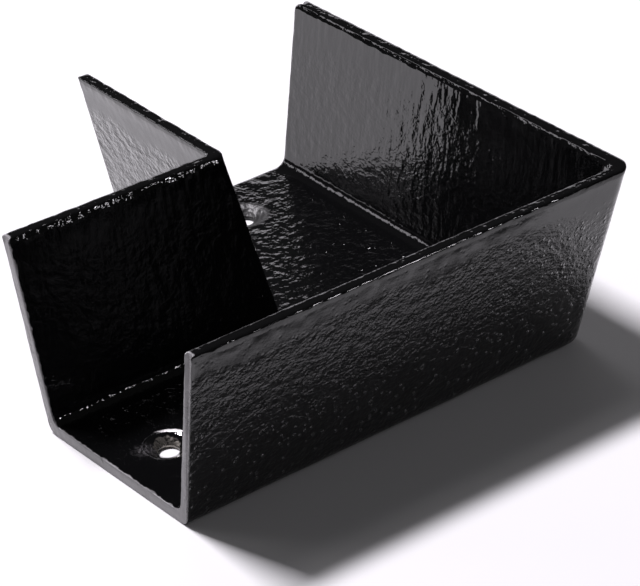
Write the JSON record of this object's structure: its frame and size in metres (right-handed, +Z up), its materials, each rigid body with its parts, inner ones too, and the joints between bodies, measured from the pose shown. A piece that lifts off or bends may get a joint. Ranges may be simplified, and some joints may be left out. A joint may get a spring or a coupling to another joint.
{
  "type": "box gutter angle",
  "caption": "Right-angled corner of open, flat-bottomed box gutter with leaning walls, cast in one piece, with a countersunk bolt hole near each open end.",
  "frame": {"origin": "on the sole's underside, where the centre lines of the two arms cross", "axes": "-X along arm one to its open end, +Y along arm two to its open end, +Z up out of the channel"},
  "size_m": [0.1993, 0.1993, 0.077],
  "materials": {
    "painted_casting": "black gloss paint over a rough sand casting; bare grey metal in the drilled holes"
  },
  "bodies": {
    "root": {"gutter_angle": "painted_casting"}
  },
  "joints": []
}
